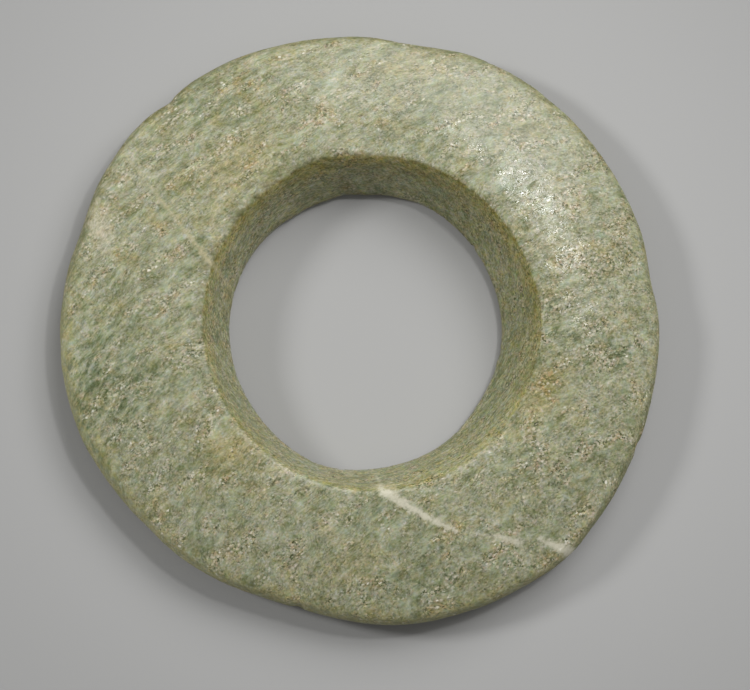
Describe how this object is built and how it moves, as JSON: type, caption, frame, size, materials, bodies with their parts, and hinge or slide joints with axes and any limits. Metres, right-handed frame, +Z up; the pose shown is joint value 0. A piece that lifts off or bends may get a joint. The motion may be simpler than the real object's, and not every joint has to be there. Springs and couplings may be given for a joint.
{
  "type": "stone ring",
  "caption": "Ground ring of mottled green stone with a crowned face, a blunt uneven edge and a bore that narrows downwards, lying flat.",
  "frame": {"origin": "on the flat underside, at the middle of the outline's box", "axes": "+Z up along the bore, away from the surface the ring lies on; +X to the right and +Y to the top of the picture"},
  "size_m": [0.1314, 0.1294, 0.014],
  "materials": {
    "green_stone": "worn low polish on mottled, foliated green stone with cream flecks, olive stains and two pale veins"
  },
  "bodies": {
    "root": {"jade_ring": "green_stone"}
  },
  "joints": []
}
